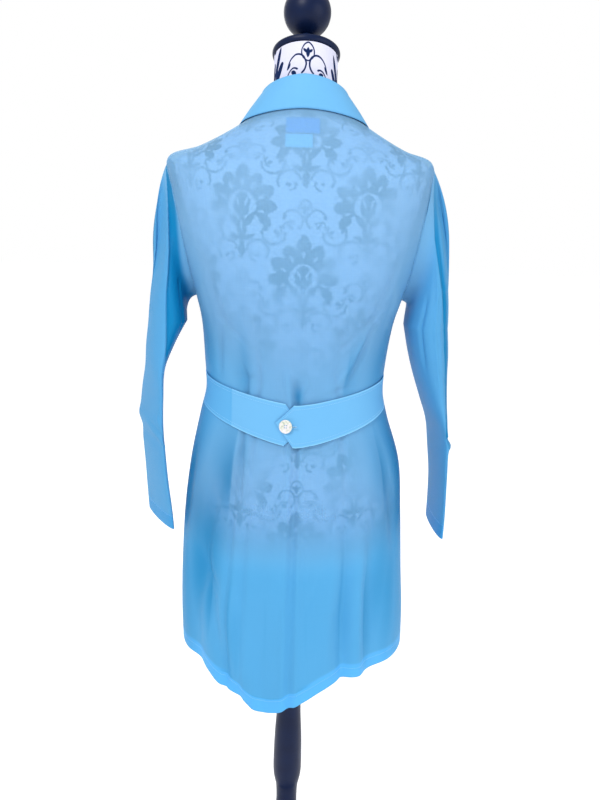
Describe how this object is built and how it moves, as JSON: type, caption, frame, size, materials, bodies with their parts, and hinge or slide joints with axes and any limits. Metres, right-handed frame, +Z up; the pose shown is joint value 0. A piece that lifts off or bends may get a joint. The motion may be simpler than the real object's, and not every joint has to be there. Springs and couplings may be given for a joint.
{
  "type": "nurse uniform dress on a limbless dress form",
  "caption": "Sheer long-sleeved nurse uniform dress with a half belt at the back, shown on a limbless dress form with a turned neck cap, pole and round foot.",
  "frame": {"origin": "on the floor under the foot, on the axis of the pole", "axes": "+Z up along the pole; the back of the dress faces +Y, its front -Y, and the wearer's left is +X"},
  "size_m": [0.5232, 0.3227, 1.525],
  "materials": {
    "sheer_cloth": "fine sheer plain weave, sky blue, lightly crisp",
    "trim_cloth": "the same cloth doubled and interfaced, so it is opaque",
    "pearl_button": "pearly white, glossy",
    "label_tape": "plain woven tape, unlettered",
    "form_cover": null,
    "black_wood": "black lacquered turned wood, semi-gloss"
  },
  "bodies": {
    "root": {"back": "sheer_cloth", "front_left": "sheer_cloth", "front_right": "sheer_cloth", "sleeve_left": "sheer_cloth", "sleeve_right": "sheer_cloth", "collar": "trim_cloth", "belt_left": "trim_cloth", "belt_right": "trim_cloth", "belt_button": "pearl_button", "label_upper": "label_tape", "label_lower": "label_tape", "form_torso": "form_cover", "neck_cap": "black_wood", "finial": "black_wood", "pole": "black_wood", "base": "black_wood", "front_button_1": "pearl_button", "front_button_2": "pearl_button", "front_button_3": "pearl_button", "front_button_4": "pearl_button", "front_button_5": "pearl_button", "front_button_6": "pearl_button"}
  },
  "joints": []
}
